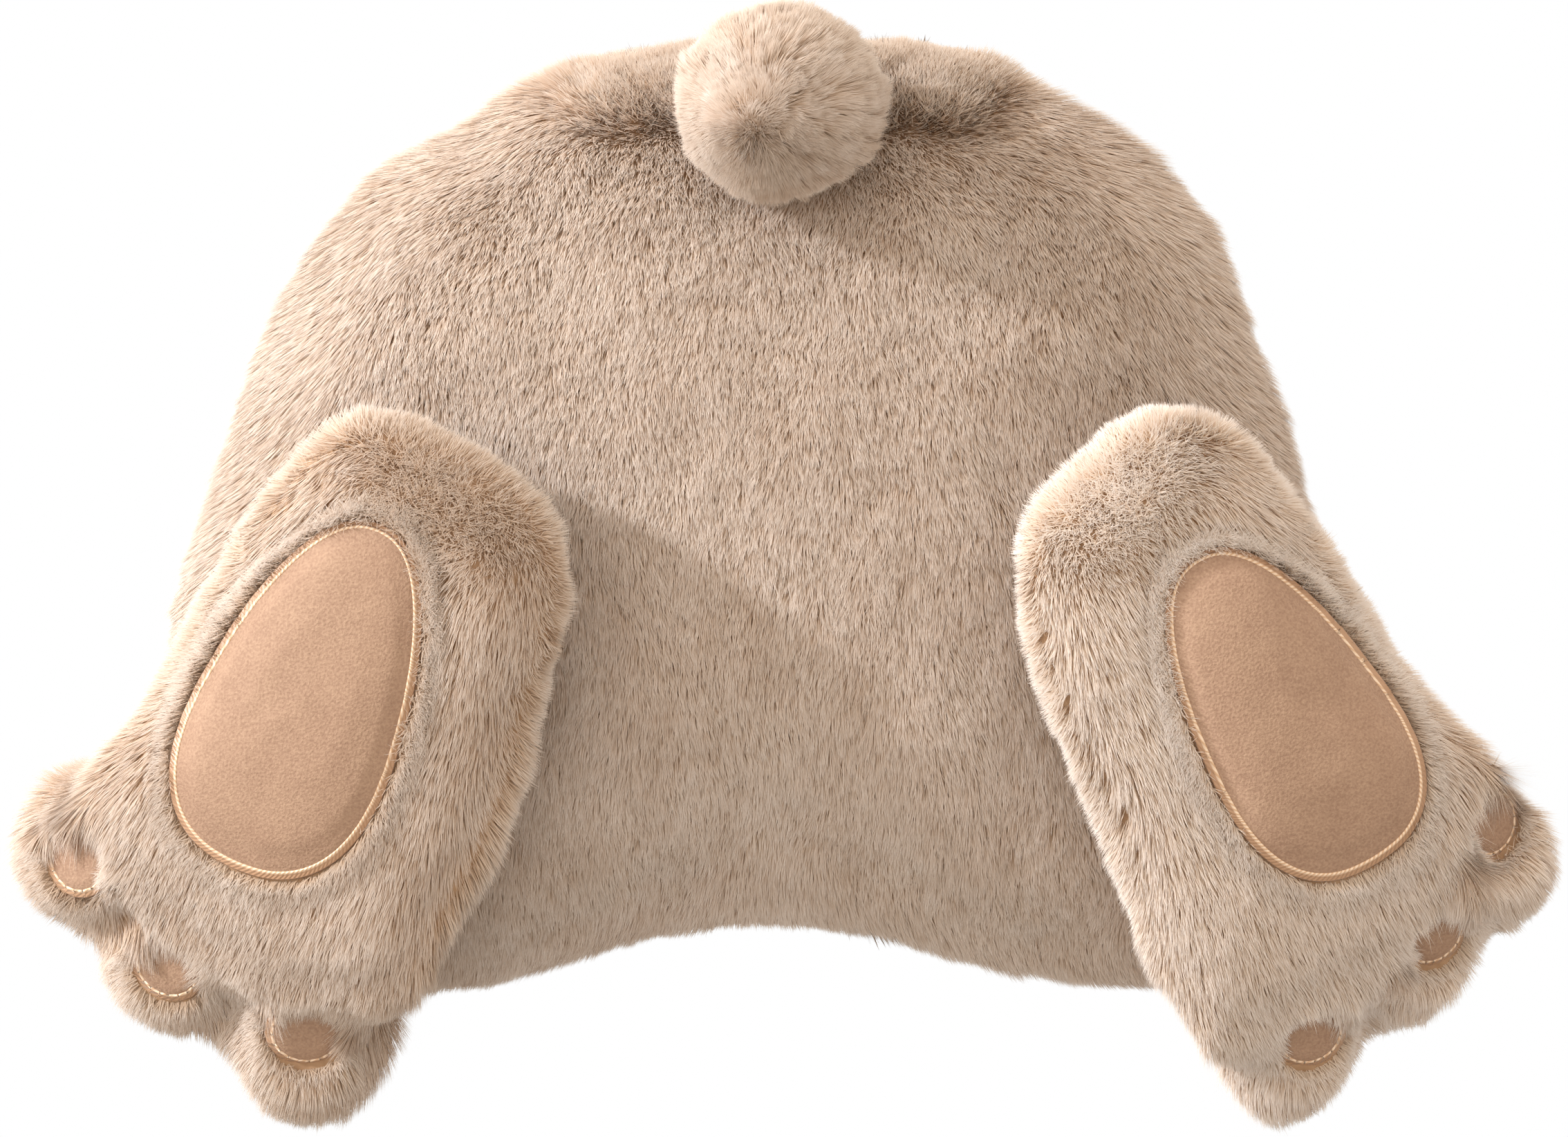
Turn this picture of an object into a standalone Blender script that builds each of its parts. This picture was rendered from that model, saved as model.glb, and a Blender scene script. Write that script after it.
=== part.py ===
"""A plush cushion shaped like the back half of a rabbit, lying on its back.

A filled body of long-pile plush carries a pompom tail at the middle of its top edge and two filled feet,
sole up, over its lower corners. Each foot has a short-pile sole patch and three round toe patches, laid in
hollows of the pile and edged with a raised band of satin stitch.

The solids reach as far as the tips of the pile do. Sizes in the tables are millimetres. X runs to the right
and Y to the tail, as the cushion is seen from above; Z is up, and the floor is at Z = 0.
"""

import math
from typing import NamedTuple

import bmesh
import bpy
import numpy as np
from mathutils import Matrix, Vector

MM = 0.001

# Clearances between pieces that lie on each other.
SEAT_GAP = 0.4
PATCH_GAP = 0.45

# The body: two crowned panels seamed round their edge.
BODY_SEAM_HEIGHT = 50.0
BODY_CROWN = 78.0
BODY_DROOP = 66.0
BODY_FULLNESS = 1.15
BODY_SEGMENTS = 72
BODY_RINGS = 16
SEAM_DRAW = 2.0

# The tail, a pompom with its middle near the body's top edge.
TAIL_MIDDLE = Vector((-1.8, 168.5, 119.0))
TAIL_RADII = Vector((38.6, 36.2, 37.0))
TAIL_SEGMENTS = 26
TAIL_RINGS = 14

# The feet: height of the seam plane at a foot's middle, its rise towards the body, and its thickness.
FOOT_HEIGHT = 130.0
FOOT_RISE_INWARD = 0.22
FOOT_RISE_UPWARD = 0.10
FOOT_CROWN = 34.0
FOOT_UNDER = 57.0
FOOT_FULLNESS = 0.85
FOOT_SEGMENTS = 56
FOOT_RINGS = 18
FOOT_SEAM_RING = 3

# The toes and the patches on them.
TOE_SEGMENTS = 20
TOE_RINGS = 10
TOE_HOLLOW_DEPTH = 5.5
TOE_HOLLOW_MARGIN = 1.2
TOE_HOLLOW_FLARE = 0.35
TOE_HOLLOW_RISE = 22.0
TOE_PATCH_THICKNESS = 1.8
TOE_PATCH_SIDES = 20
TOE_PATCH_BEVEL = 0.5

# The sole patches, their hollows, and the satin stitch round every patch.
SOLE_HOLLOW_DEPTH = 6.5
SOLE_HOLLOW_MARGIN = 3.6
SOLE_HOLLOW_FLARE = 1.5
SOLE_HEADROOM = 14.0
SOLE_EDGE_THICKNESS = 1.6
SOLE_CROWN = 1.6
SOLE_SEGMENTS = 40
SOLE_RINGS = 6
EDGING_RADIUS = 1.25
EDGING_POINTS = 40
EDGING_SIDES = 6

OUTLINE_STEPS = 12


class EdgePoint(NamedTuple):
    """A point on the outline of a panel."""

    x: float
    y: float


class Egg(NamedTuple):
    """The outline of a sole patch: an egg whose wider end points along its heading.

    A roundness of 1 is an ellipse's; less gives fuller shoulders.
    """

    x: float
    y: float
    heading_deg: float
    half_length: float
    half_width: float
    swell: float
    roundness: float


class Toe(NamedTuple):
    """A toe, and its patch, which faces lean_deg away from straight up, towards facing_deg."""

    x: float
    y: float
    z: float
    radius_x: float
    radius_y: float
    radius_z: float
    patch_x: float
    patch_y: float
    facing_deg: float
    lean_deg: float
    patch_radius: float


class Foot(NamedTuple):
    """A foot: its name, middle, outline without the toes, sole patch and toes."""

    side: str
    middle: EdgePoint
    inward: float
    outline: tuple
    sole: Egg
    toes: tuple


BODY_OUTLINE = (
    EdgePoint(0, 196.9),
    EdgePoint(57.9, 194.1),
    EdgePoint(84.6, 187.5),
    EdgePoint(125.5, 163.1),
    EdgePoint(144.8, 146.8),
    EdgePoint(161.2, 124.9),
    EdgePoint(178.5, 80.2),
    EdgePoint(189.2, 50.3),
    EdgePoint(199.2, 7),
    EdgePoint(205.9, -49.2),
    EdgePoint(196.6, -106.3),
    EdgePoint(166.3, -147.3),
    EdgePoint(133.2, -156.2),
    EdgePoint(91.9, -151.8),
    EdgePoint(57.2, -143.4),
    EdgePoint(28.5, -134.9),
    EdgePoint(0, -130.7),
    EdgePoint(-28.5, -134),
    EdgePoint(-69.1, -142.9),
    EdgePoint(-108.1, -153.6),
    EdgePoint(-143.2, -157.3),
    EdgePoint(-208.2, -139.8),
    EdgePoint(-231, -90.4),
    EdgePoint(-231.4, -36.2),
    EdgePoint(-215.5, 24.6),
    EdgePoint(-201.1, 65),
    EdgePoint(-187.5, 101.8),
    EdgePoint(-167, 135.8),
    EdgePoint(-145.5, 155.1),
    EdgePoint(-118.5, 167.1),
    EdgePoint(-105.2, 179.1),
    EdgePoint(-86.1, 187.8),
    EdgePoint(-45.7, 195),
)

LEFT_FOOT = Foot(
    side="left",
    middle=EdgePoint(-178, -62),
    inward=1.0,
    outline=(
        EdgePoint(-144.5, 60.5),
        EdgePoint(-113, 48),
        EdgePoint(-88, 30),
        EdgePoint(-75.5, 7),
        EdgePoint(-75.5, -19),
        EdgePoint(-84, -47),
        EdgePoint(-90, -75),
        EdgePoint(-102, -106),
        EdgePoint(-115.5, -130),
        EdgePoint(-126, -154),
        EdgePoint(-140, -165),
        EdgePoint(-168, -162),
        EdgePoint(-193, -157),
        EdgePoint(-217, -139),
        EdgePoint(-240, -122),
        EdgePoint(-255, -103),
        EdgePoint(-260, -83),
        EdgePoint(-246, -61),
        EdgePoint(-232, -44),
        EdgePoint(-219.5, -21),
        EdgePoint(-201, 10),
        EdgePoint(-184, 37),
        EdgePoint(-164, 55),
    ),
    sole=Egg(-171, -45.3, -113.4, 64.8, 34.1, 0.27, 0.84),
    toes=(
        Toe(-170, -160, 86, 36, 44, 31, -172, -168.5, -86, 33, 12.0),
        Toe(-216, -136, 83, 35, 35, 29, -223.5, -144.5, -128, 32, 11.2),
        Toe(-243, -99.5, 81, 39.5, 34.5, 28, -256.5, -104, 188, 34, 11.8),
    ),
)

RIGHT_FOOT = Foot(
    side="right",
    middle=EdgePoint(176, -62),
    inward=-1.0,
    outline=(
        EdgePoint(142, 61.5),
        EdgePoint(167, 51),
        EdgePoint(184.5, 29),
        EdgePoint(199, 10),
        EdgePoint(211.5, -11),
        EdgePoint(225.5, -34),
        EdgePoint(246.5, -53),
        EdgePoint(261.5, -69),
        EdgePoint(266, -92),
        EdgePoint(262, -114),
        EdgePoint(247, -130),
        EdgePoint(231, -146),
        EdgePoint(211, -159),
        EdgePoint(188, -168),
        EdgePoint(166, -180),
        EdgePoint(151, -180),
        EdgePoint(140, -164),
        EdgePoint(129, -144.5),
        EdgePoint(121, -120),
        EdgePoint(109, -89),
        EdgePoint(94, -54),
        EdgePoint(84, -25.5),
        EdgePoint(81, 1.5),
        EdgePoint(86, 24),
        EdgePoint(105, 42.5),
        EdgePoint(121, 56.5),
    ),
    sole=Egg(180, -50, -59.3, 62, 31.6, 0.26, 0.8),
    toes=(
        Toe(180, -162, 86, 31, 41, 31, 191, -169.5, -60, 36, 11.0),
        Toe(222, -134, 83, 31, 33.5, 28, 236, -133, -46, 40, 11.0),
        Toe(246, -103.5, 81, 37.5, 32, 28, 257, -91.5, -10, 40, 11.2),
    ),
)


def smooth_loop(points):
    """The points of a closed curve that runs smoothly through the given ones."""
    corners = np.array([(point.x, point.y) for point in points])
    before, after = np.roll(corners, 1, axis=0), np.roll(corners, -1, axis=0)
    beyond = np.roll(corners, -2, axis=0)
    stretches = []
    for step in np.arange(OUTLINE_STEPS) / OUTLINE_STEPS:
        square, cube = step**2, step**3
        stretches.append(
            0.5 * (2 * corners + (after - before) * step)
            + 0.5 * (2 * before - 5 * corners + 4 * after - beyond) * square
            + 0.5 * (3 * corners - before - 3 * after + beyond) * cube
        )
    return np.stack(stretches, axis=1).reshape(-1, 2)


def reach_from(middle, points):
    """A function of bearing that gives how far the outline lies from its middle."""
    offsets = smooth_loop(points) - np.array([middle.x, middle.y])
    bearings = np.arctan2(offsets[:, 1], offsets[:, 0])
    order = np.argsort(bearings)
    distances = np.hypot(offsets[:, 0], offsets[:, 1])[order]
    bearings = bearings[order]

    def reach(bearing):
        return float(np.interp(bearing, bearings, distances, period=2 * math.pi))

    return reach


def pressed_round(name, segments, rings, place):
    """A closed mesh: a sphere whose every point goes where place(bearing, share, lift) says.

    share is how far out the point is, from 0 at the poles to 1 at the rim, and lift runs from -1 at the
    lower pole to 1 at the upper one.
    """
    shape = bmesh.new()
    bmesh.ops.create_uvsphere(shape, u_segments=segments, v_segments=rings, radius=1)
    for vertex in shape.verts:
        across = math.hypot(vertex.co.x, vertex.co.y)
        bearing = math.atan2(vertex.co.y, vertex.co.x)
        vertex.co = place(bearing, min(across, 1.0), vertex.co.z) * MM
    mesh = bpy.data.meshes.new(name)
    shape.to_mesh(mesh)
    shape.free()
    return bpy.data.objects.new(name, mesh)


def raised(share, power):
    """A share to a power, with its sign kept."""
    return math.copysign(abs(share) ** power, share)


def body_place(reach):
    """Where the points of the body go: crowned above, and flat below where it lies."""

    def place(bearing, share, lift):
        distance = share * reach(bearing)
        if abs(lift) < 0.01:
            distance -= SEAM_DRAW
        height = BODY_CROWN if lift > 0 else BODY_DROOP
        z = BODY_SEAM_HEIGHT + height * raised(lift, BODY_FULLNESS)
        return Vector((distance * math.cos(bearing), distance * math.sin(bearing), max(z, 0)))

    return place


def foot_plane(foot, x, y):
    """The height of the foot's seam plane, which leans as the body's crown does."""
    inward = (x - foot.middle.x) * foot.inward * FOOT_RISE_INWARD
    upward = (y - foot.middle.y) * FOOT_RISE_UPWARD
    return FOOT_HEIGHT + inward + upward


def foot_place(foot, reach):
    """Where the points of the foot's padded paddle go, drawn in along the seam of its sole panel."""
    seam_lift = math.sin(FOOT_SEAM_RING * math.pi / FOOT_RINGS)

    def place(bearing, share, lift):
        distance = share * reach(bearing)
        height = FOOT_CROWN if lift > 0 else FOOT_UNDER
        drawn = SEAM_DRAW if abs(lift - seam_lift) < 0.01 else 0.0
        distance -= drawn
        x = foot.middle.x + distance * math.cos(bearing)
        y = foot.middle.y + distance * math.sin(bearing)
        rise = height * raised(lift, FOOT_FULLNESS) - drawn
        return Vector((x, y, foot_plane(foot, x, y) + rise))

    return place


def foot_top(foot, reach):
    """A function of x and y that gives the height of the foot's upper side."""

    def top(x, y):
        across, along = x - foot.middle.x, y - foot.middle.y
        share = min(math.hypot(across, along) / reach(math.atan2(along, across)), 1.0)
        lift = math.sqrt(1 - share**2)
        return foot_plane(foot, x, y) + FOOT_CROWN * raised(lift, FOOT_FULLNESS)

    return top


def egg_point(egg, bearing, share, margin):
    """The point at this share of the way out to an egg's outline, which is first let out by a margin."""
    ahead = raised(math.cos(bearing), egg.roundness)
    aside = raised(math.sin(bearing), egg.roundness)
    along = (egg.half_length + margin) * ahead
    across = (egg.half_width * (1 + egg.swell * ahead) + margin) * aside
    heading = math.radians(egg.heading_deg)
    turned = Matrix.Rotation(heading, 2) @ Vector((along, across)) * share
    return egg.x + turned.x, egg.y + turned.y


def sole_patch(foot, top):
    """The short-pile patch of a sole, a little crowned, on the floor of its hollow."""

    def place(bearing, share, lift):
        x, y = egg_point(foot.sole, bearing, share, 0.0)
        bottom = top(x, y) - SOLE_HOLLOW_DEPTH + PATCH_GAP
        if lift < 0.01:
            return Vector((x, y, bottom))
        return Vector((x, y, bottom + SOLE_EDGE_THICKNESS + SOLE_CROWN * lift))

    return pressed_round(f"sole_{foot.side}", SOLE_SEGMENTS, SOLE_RINGS, place)


def sole_hollow(foot, top):
    """The cutter for the hollow in the pile round a sole patch, wider at its mouth."""

    def place(bearing, share, lift):
        if lift < 0.01:
            x, y = egg_point(foot.sole, bearing, share, SOLE_HOLLOW_MARGIN)
            return Vector((x, y, top(x, y) - SOLE_HOLLOW_DEPTH))
        rise = SOLE_HOLLOW_DEPTH + SOLE_HEADROOM
        margin = SOLE_HOLLOW_MARGIN + SOLE_HOLLOW_FLARE * rise
        x, y = egg_point(foot.sole, bearing, share, margin)
        return Vector((x, y, top(x, y) + SOLE_HEADROOM))

    return pressed_round(f"sole_hollow_{foot.side}", SOLE_SEGMENTS, SOLE_RINGS, place)


def sole_edging(foot, top):
    """The band of satin stitch round a sole patch, a closed tube on the floor of the hollow."""
    curve = bpy.data.curves.new(f"sole_edging_{foot.side}", "CURVE")
    curve.dimensions = "3D"
    curve.bevel_depth = EDGING_RADIUS * MM
    curve.bevel_resolution = 1
    spline = curve.splines.new("POLY")
    spline.points.add(EDGING_POINTS - 1)
    spline.use_cyclic_u = True
    margin = EDGING_RADIUS + PATCH_GAP
    for step, point in enumerate(spline.points):
        x, y = egg_point(foot.sole, 2 * math.pi * step / EDGING_POINTS, 1.0, margin)
        z = top(x, y) - SOLE_HOLLOW_DEPTH + PATCH_GAP + EDGING_RADIUS
        point.co = (x * MM, y * MM, z * MM, 1)
    return bpy.data.objects.new(curve.name, curve)


def ellipsoid(name, middle, radii, segments, rings):
    """A round solid with its own radius along each axis."""

    def place(bearing, share, lift):
        spoke = Vector((share * math.cos(bearing), share * math.sin(bearing), lift))
        return middle + spoke * radii

    return pressed_round(name, segments, rings, place)


def patch_frame(toe):
    """The frame of a toe's hollow: its origin on the hollow's floor, its Z the way the patch faces."""
    facing, lean = math.radians(toe.facing_deg), math.radians(toe.lean_deg)
    normal = Vector(
        (math.sin(lean) * math.cos(facing), math.sin(lean) * math.sin(facing), math.cos(lean))
    )
    across = (toe.patch_x - toe.x) / toe.radius_x
    along = (toe.patch_y - toe.y) / toe.radius_y
    top = toe.z + toe.radius_z * math.sqrt(1 - across**2 - along**2)
    floor = Vector((toe.patch_x, toe.patch_y, top)) - normal * TOE_HOLLOW_DEPTH
    turn = normal.to_track_quat("Z", "Y").to_matrix().to_4x4()
    return Matrix.Translation(floor * MM) @ turn


def round_slab(name, frame, bottom_radius, top_radius, low, high):
    """A short cone or disc that stands on the frame's Z axis, from low to high."""
    shape = bmesh.new()
    bmesh.ops.create_cone(
        shape,
        cap_ends=True,
        segments=TOE_PATCH_SIDES,
        radius1=bottom_radius * MM,
        radius2=top_radius * MM,
        depth=(high - low) * MM,
    )
    mesh = bpy.data.meshes.new(name)
    shape.to_mesh(mesh)
    shape.free()
    slab = bpy.data.objects.new(name, mesh)
    slab.matrix_world = frame @ Matrix.Translation((0, 0, (high + low) / 2 * MM))
    return slab


def toe_hollow(name, toe, frame):
    """The cutter for the hollow round a toe patch."""
    floor_radius = toe.patch_radius + 2 * EDGING_RADIUS + TOE_HOLLOW_MARGIN
    mouth_radius = floor_radius + TOE_HOLLOW_FLARE * TOE_HOLLOW_RISE
    return round_slab(name, frame, floor_radius, mouth_radius, 0, TOE_HOLLOW_RISE)


def toe_patch(name, toe, frame):
    """A round toe patch with a rounded upper edge."""
    low = PATCH_GAP
    radius = toe.patch_radius
    patch = round_slab(name, frame, radius, radius, low, low + TOE_PATCH_THICKNESS)
    bevel = patch.modifiers.new("rounded edge", "BEVEL")
    bevel.width = TOE_PATCH_BEVEL * MM
    bevel.segments = 1
    return patch


def toe_edging(name, toe, frame):
    """The ring of satin stitch round a toe patch."""
    bpy.ops.mesh.primitive_torus_add(
        major_segments=TOE_PATCH_SIDES,
        minor_segments=EDGING_SIDES,
        major_radius=(toe.patch_radius + PATCH_GAP + EDGING_RADIUS) * MM,
        minor_radius=EDGING_RADIUS * MM,
    )
    ring = bpy.context.object
    ring.name = name
    ring.matrix_world = frame @ Matrix.Translation((0, 0, (PATCH_GAP + EDGING_RADIUS) * MM))
    return ring


def material(name, colour, roughness):
    """A plain finish for a node."""
    finish = bpy.data.materials.new(name)
    finish.use_nodes = True
    shader = finish.node_tree.nodes["Principled BSDF"]
    shader.inputs["Base Color"].default_value = (*colour, 1)
    shader.inputs["Roughness"].default_value = roughness
    shader.inputs["Metallic"].default_value = 0
    return finish


def combine(solid, other, operation):
    """Adds a Boolean that joins another form to the solid, or cuts it away."""
    boolean = solid.modifiers.new(f"{operation.lower()} {other.name}", "BOOLEAN")
    boolean.operation = operation
    boolean.object = other
    boolean.solver = "EXACT"


def add_piece(collection, piece, finish, smooth=True):
    """Files a piece with its finish."""
    for holder in list(piece.users_collection):
        holder.objects.unlink(piece)
    collection.objects.link(piece)
    piece.data.materials.clear()
    piece.data.materials.append(finish)
    if smooth and piece.type == "MESH":
        piece.data.shade_smooth()
    return piece


def add_helper(collection, helper):
    """Files a form that only joins or cuts others."""
    collection.objects.link(helper)
    helper.hide_render = True
    helper.display_type = "WIRE"
    return helper


def build_foot(foot, pieces, helpers, clearance, finishes):
    """A foot with its sole patch, toes, toe patches and their edgings."""
    reach = reach_from(foot.middle, foot.outline)
    top = foot_top(foot, reach)
    name = f"foot_{foot.side}"
    solid = pressed_round(name, FOOT_SEGMENTS, FOOT_RINGS, foot_place(foot, reach))
    add_piece(pieces, solid, finishes["pile"])
    frames = [patch_frame(toe) for toe in foot.toes]
    for number, toe in enumerate(foot.toes, start=1):
        lobe = ellipsoid(
            f"toe_{foot.side}_{number}",
            Vector((toe.x, toe.y, toe.z)),
            Vector((toe.radius_x, toe.radius_y, toe.radius_z)),
            TOE_SEGMENTS,
            TOE_RINGS,
        )
        combine(solid, add_helper(helpers, lobe), "UNION")
    combine(solid, clearance, "DIFFERENCE")
    combine(solid, add_helper(helpers, sole_hollow(foot, top)), "DIFFERENCE")
    add_piece(pieces, sole_patch(foot, top), finishes["patch"])
    add_piece(pieces, sole_edging(foot, top), finishes["stitch"])
    for number, (toe, frame) in enumerate(zip(foot.toes, frames), start=1):
        tag = f"{foot.side}_{number}"
        hollow = toe_hollow(f"toe_hollow_{tag}", toe, frame)
        combine(solid, add_helper(helpers, hollow), "DIFFERENCE")
        add_piece(pieces, toe_patch(f"toe_patch_{tag}", toe, frame), finishes["patch"], False)
        add_piece(pieces, toe_edging(f"toe_edging_{tag}", toe, frame), finishes["stitch"])


def build():
    """Clears the scene and models the cushion."""
    for item in list(bpy.data.objects):
        bpy.data.objects.remove(item)
    pieces = bpy.data.collections.new("rabbit cushion")
    helpers = bpy.data.collections.new("joined and cut forms")
    for collection in (pieces, helpers):
        bpy.context.scene.collection.children.link(collection)
    finishes = {
        "pile": material("long-pile plush", (0.62, 0.46, 0.34), 0.95),
        "patch": material("short-pile velour", (0.55, 0.33, 0.20), 0.85),
        "stitch": material("satin stitch", (0.68, 0.48, 0.33), 0.45),
    }

    reach = reach_from(EdgePoint(0, 0), BODY_OUTLINE)
    body = pressed_round("body", BODY_SEGMENTS, BODY_RINGS, body_place(reach))
    add_piece(pieces, body, finishes["pile"])
    clearance = add_helper(helpers, bpy.data.objects.new("body_clearance", body.data))
    outset = clearance.modifiers.new("clearance", "DISPLACE")
    outset.strength = SEAT_GAP * MM
    outset.mid_level = 0

    tail = ellipsoid("tail", TAIL_MIDDLE, TAIL_RADII, TAIL_SEGMENTS, TAIL_RINGS)
    add_piece(pieces, tail, finishes["pile"])
    combine(tail, clearance, "DIFFERENCE")

    for foot in (LEFT_FOOT, RIGHT_FOOT):
        build_foot(foot, pieces, helpers, clearance, finishes)


build()
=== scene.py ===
"""Looks of the rabbit-shaped plush cushion: its pile, its short-pile patches and their satin stitch.

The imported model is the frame. Each filled piece gets a skin, its CAD node drawn in by the height of the
pile, and a coat of locks rooted on that skin, whose tips reach the CAD surface again. The patches and the
bands of satin stitch round them are laid where their CAD nodes are.

All lengths are metres, unless a name ends in _mm. X runs to the right and Y to the tail, seen from above.
"""

from __future__ import annotations

import itertools
import logging
import math
from collections.abc import Callable
from dataclasses import dataclass, field
from enum import Enum

import bpy
import numpy as np
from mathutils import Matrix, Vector
from mathutils.bvhtree import BVHTree
from mathutils.kdtree import KDTree


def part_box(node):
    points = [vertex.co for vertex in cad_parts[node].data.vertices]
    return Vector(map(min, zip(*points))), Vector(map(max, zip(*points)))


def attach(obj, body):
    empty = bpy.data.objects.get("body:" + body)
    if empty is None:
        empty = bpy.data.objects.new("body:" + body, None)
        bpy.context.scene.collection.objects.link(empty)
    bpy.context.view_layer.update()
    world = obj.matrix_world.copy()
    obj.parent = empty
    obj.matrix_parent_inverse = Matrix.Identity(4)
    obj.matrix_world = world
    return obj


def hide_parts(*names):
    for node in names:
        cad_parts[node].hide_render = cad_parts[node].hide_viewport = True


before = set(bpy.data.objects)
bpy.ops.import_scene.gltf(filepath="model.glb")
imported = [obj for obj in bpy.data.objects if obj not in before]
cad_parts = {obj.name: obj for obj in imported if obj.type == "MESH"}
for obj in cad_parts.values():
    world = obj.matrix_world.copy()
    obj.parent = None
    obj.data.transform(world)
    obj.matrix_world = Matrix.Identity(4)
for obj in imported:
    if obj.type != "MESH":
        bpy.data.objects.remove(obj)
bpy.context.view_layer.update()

LOG = logging.getLogger("rabbit cushion")

MM = 0.001
BODY = "root"
UP = np.array([0.0, 0.0, 1.0])

Array = np.ndarray
Rule = Callable[[Array], Array]
Pair = tuple[float, float]
Triple = tuple[float, float, float]
Material = bpy.types.Material
Tree = bpy.types.NodeTree
Node = bpy.types.Node
Socket = bpy.types.NodeSocket
Stops = tuple[tuple[float, str], ...]


# Arithmetic on arrays of points


def unit(vectors: Array) -> Array:
    """Vectors of the same directions, each of length one."""
    return vectors / np.maximum(np.linalg.norm(vectors, axis=-1, keepdims=True), 1e-12)


def dots(first: Array, second: Array) -> Array:
    """The dot product of each pair of vectors, as a column."""
    return (first * second).sum(axis=-1, keepdims=True)


def eased(values: Array, low: float, high: float) -> Array:
    """A soft step: 0 where a value is below low, 1 where it is above high."""
    share = np.clip((values - low) / (high - low), 0, 1)
    return share * share * (3 - 2 * share)


def far(distances: Array, limits_mm: Pair) -> Array:
    """A soft step: 0 where a distance is below the first limit, 1 where it is above the second."""
    low, high = limits_mm
    return eased(distances, low * MM, high * MM)


def near(distances: Array, limits_mm: Pair) -> Array:
    """The same step the other way, from 1 down to 0."""
    return 1 - far(distances, limits_mm)


def soft_noise(places: Array, size: float, seed: int) -> Array:
    """Smooth noise in space.

    Args:
        places: the points, one in each row.
        size: the distance between the noise's knots.
        seed: chooses the noise.

    Returns:
        A number between -1 and 1 for each point.
    """
    grid = places / size + 1000.0
    cell = np.floor(grid).astype(np.int64)
    part = grid - cell
    part = part * part * (3 - 2 * part)
    total = np.zeros(len(places))
    for corner in itertools.product((0, 1), repeat=3):
        at = cell + np.array(corner)
        word = at[:, 0] * 73856093 ^ at[:, 1] * 19349663 ^ at[:, 2] * 83492791 ^ seed * 7919
        word = (word ^ word >> 13) * 1274126177
        word ^= word >> 16
        weight = np.where(np.array(corner), part, 1 - part).prod(axis=1)
        total += weight * ((word & 0xFFFF) / 32767.5 - 1)
    return total


def noise_vectors(places: Array, size: float, seed: int) -> Array:
    """Three unlike noises as the parts of a vector for each point."""
    return np.stack([soft_noise(places, size, seed + turn) for turn in (0, 101, 202)], axis=1)


@dataclass(frozen=True)
class Waver:
    """A change from place to place: its strength, the distance between its knots, and its seed."""

    strength: float
    size_mm: float
    seed: int

    def at(self, places: Array) -> Array:
        """The change at each place."""
        return self.strength * soft_noise(places, self.size_mm * MM, self.seed)


# Finishes


def linear(hex_colour: str) -> tuple[float, float, float, float]:
    """The linear colour of an sRGB hex value, as a socket takes it."""
    shares = [int(hex_colour[start : start + 2], 16) / 255 for start in (1, 3, 5)]
    red, green, blue = (
        share / 12.92 if share <= 0.04045 else ((share + 0.055) / 1.055) ** 2.4
        for share in shares
    )
    return red, green, blue, 1.0


def feed(tree: Tree, node: Node, inputs: dict[str | int, object]) -> None:
    """Gives each named or numbered socket of a node its value, or the output that feeds it."""
    for key, value in inputs.items():
        if isinstance(value, Socket):
            tree.links.new(value, node.inputs[key])
        else:
            node.inputs[key].default_value = value


def add_node(
    tree: Tree, kind: str, inputs: dict[str | int, object] | None = None, **settings: object
) -> Node:
    """Adds a node with its settings and links.

    Args:
        tree: the node tree.
        kind: the node's type.
        inputs: for each socket, by name or number, its value or the output that feeds it.
        settings: the node's own values.

    Returns:
        The new node.
    """
    node = tree.nodes.new(f"ShaderNode{kind}")
    for name, value in settings.items():
        setattr(node, name, value)
    feed(tree, node, inputs or {})
    return node


def ramp(tree: Tree, share: Socket, stops: Stops) -> Socket:
    """The colour that a share picks between the stops."""
    node = add_node(tree, "ValToRGB", {0: share})
    elements = node.color_ramp.elements
    while len(elements) < len(stops):
        elements.new(0.5)
    for element, (place, colour) in zip(elements, stops):
        element.position = place
        element.color = linear(colour)
    return node.outputs[0]


def noise(tree: Tree, place: Socket, size_mm: float, detail: float = 2.0) -> Socket:
    """A noise whose knots are size_mm apart."""
    inputs = {"Vector": place, "Scale": 1 / (size_mm * MM), "Detail": detail}
    return add_node(tree, "TexNoise", inputs).outputs[0]


def mixed(tree: Tree, share: Socket, first: Socket, second: Socket | tuple) -> Socket:
    """The colour that lies a share of the way from the first to the second."""
    return add_node(tree, "Mix", {0: share, 6: first, 7: second}, data_type="RGBA").outputs[2]


def bumped(tree: Tree, height: Socket, depth_mm: float, strength: float) -> Socket:
    """The normal of a surface with fine relief."""
    inputs = {"Strength": strength, "Distance": depth_mm * MM, "Height": height}
    return add_node(tree, "Bump", inputs).outputs[0]


@dataclass(frozen=True)
class Finish:
    """What every finish has: its material's name, how it shines, and its colour, which each kind adds."""

    name: str
    roughness: float = 0.5
    specular: float = 0.5
    sheen: float = 0.0
    sheen_roughness: float = 0.5
    sheen_tint: str = "#FFFFFF"

    def make(self) -> Material:
        """Makes the material."""
        material = bpy.data.materials.new(self.name)
        material.use_nodes = True
        tree = material.node_tree
        shader = tree.nodes["Principled BSDF"]
        inputs = {
            "Roughness": self.roughness,
            "Specular IOR Level": self.specular,
            "Sheen Weight": self.sheen,
            "Sheen Roughness": self.sheen_roughness,
            "Sheen Tint": linear(self.sheen_tint),
        }
        feed(tree, shader, inputs)
        self.add_colour(tree, shader)
        return material

    def add_colour(self, tree: Tree, shader: Node) -> None:
        """Adds the nodes of the colour."""
        raise NotImplementedError


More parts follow.
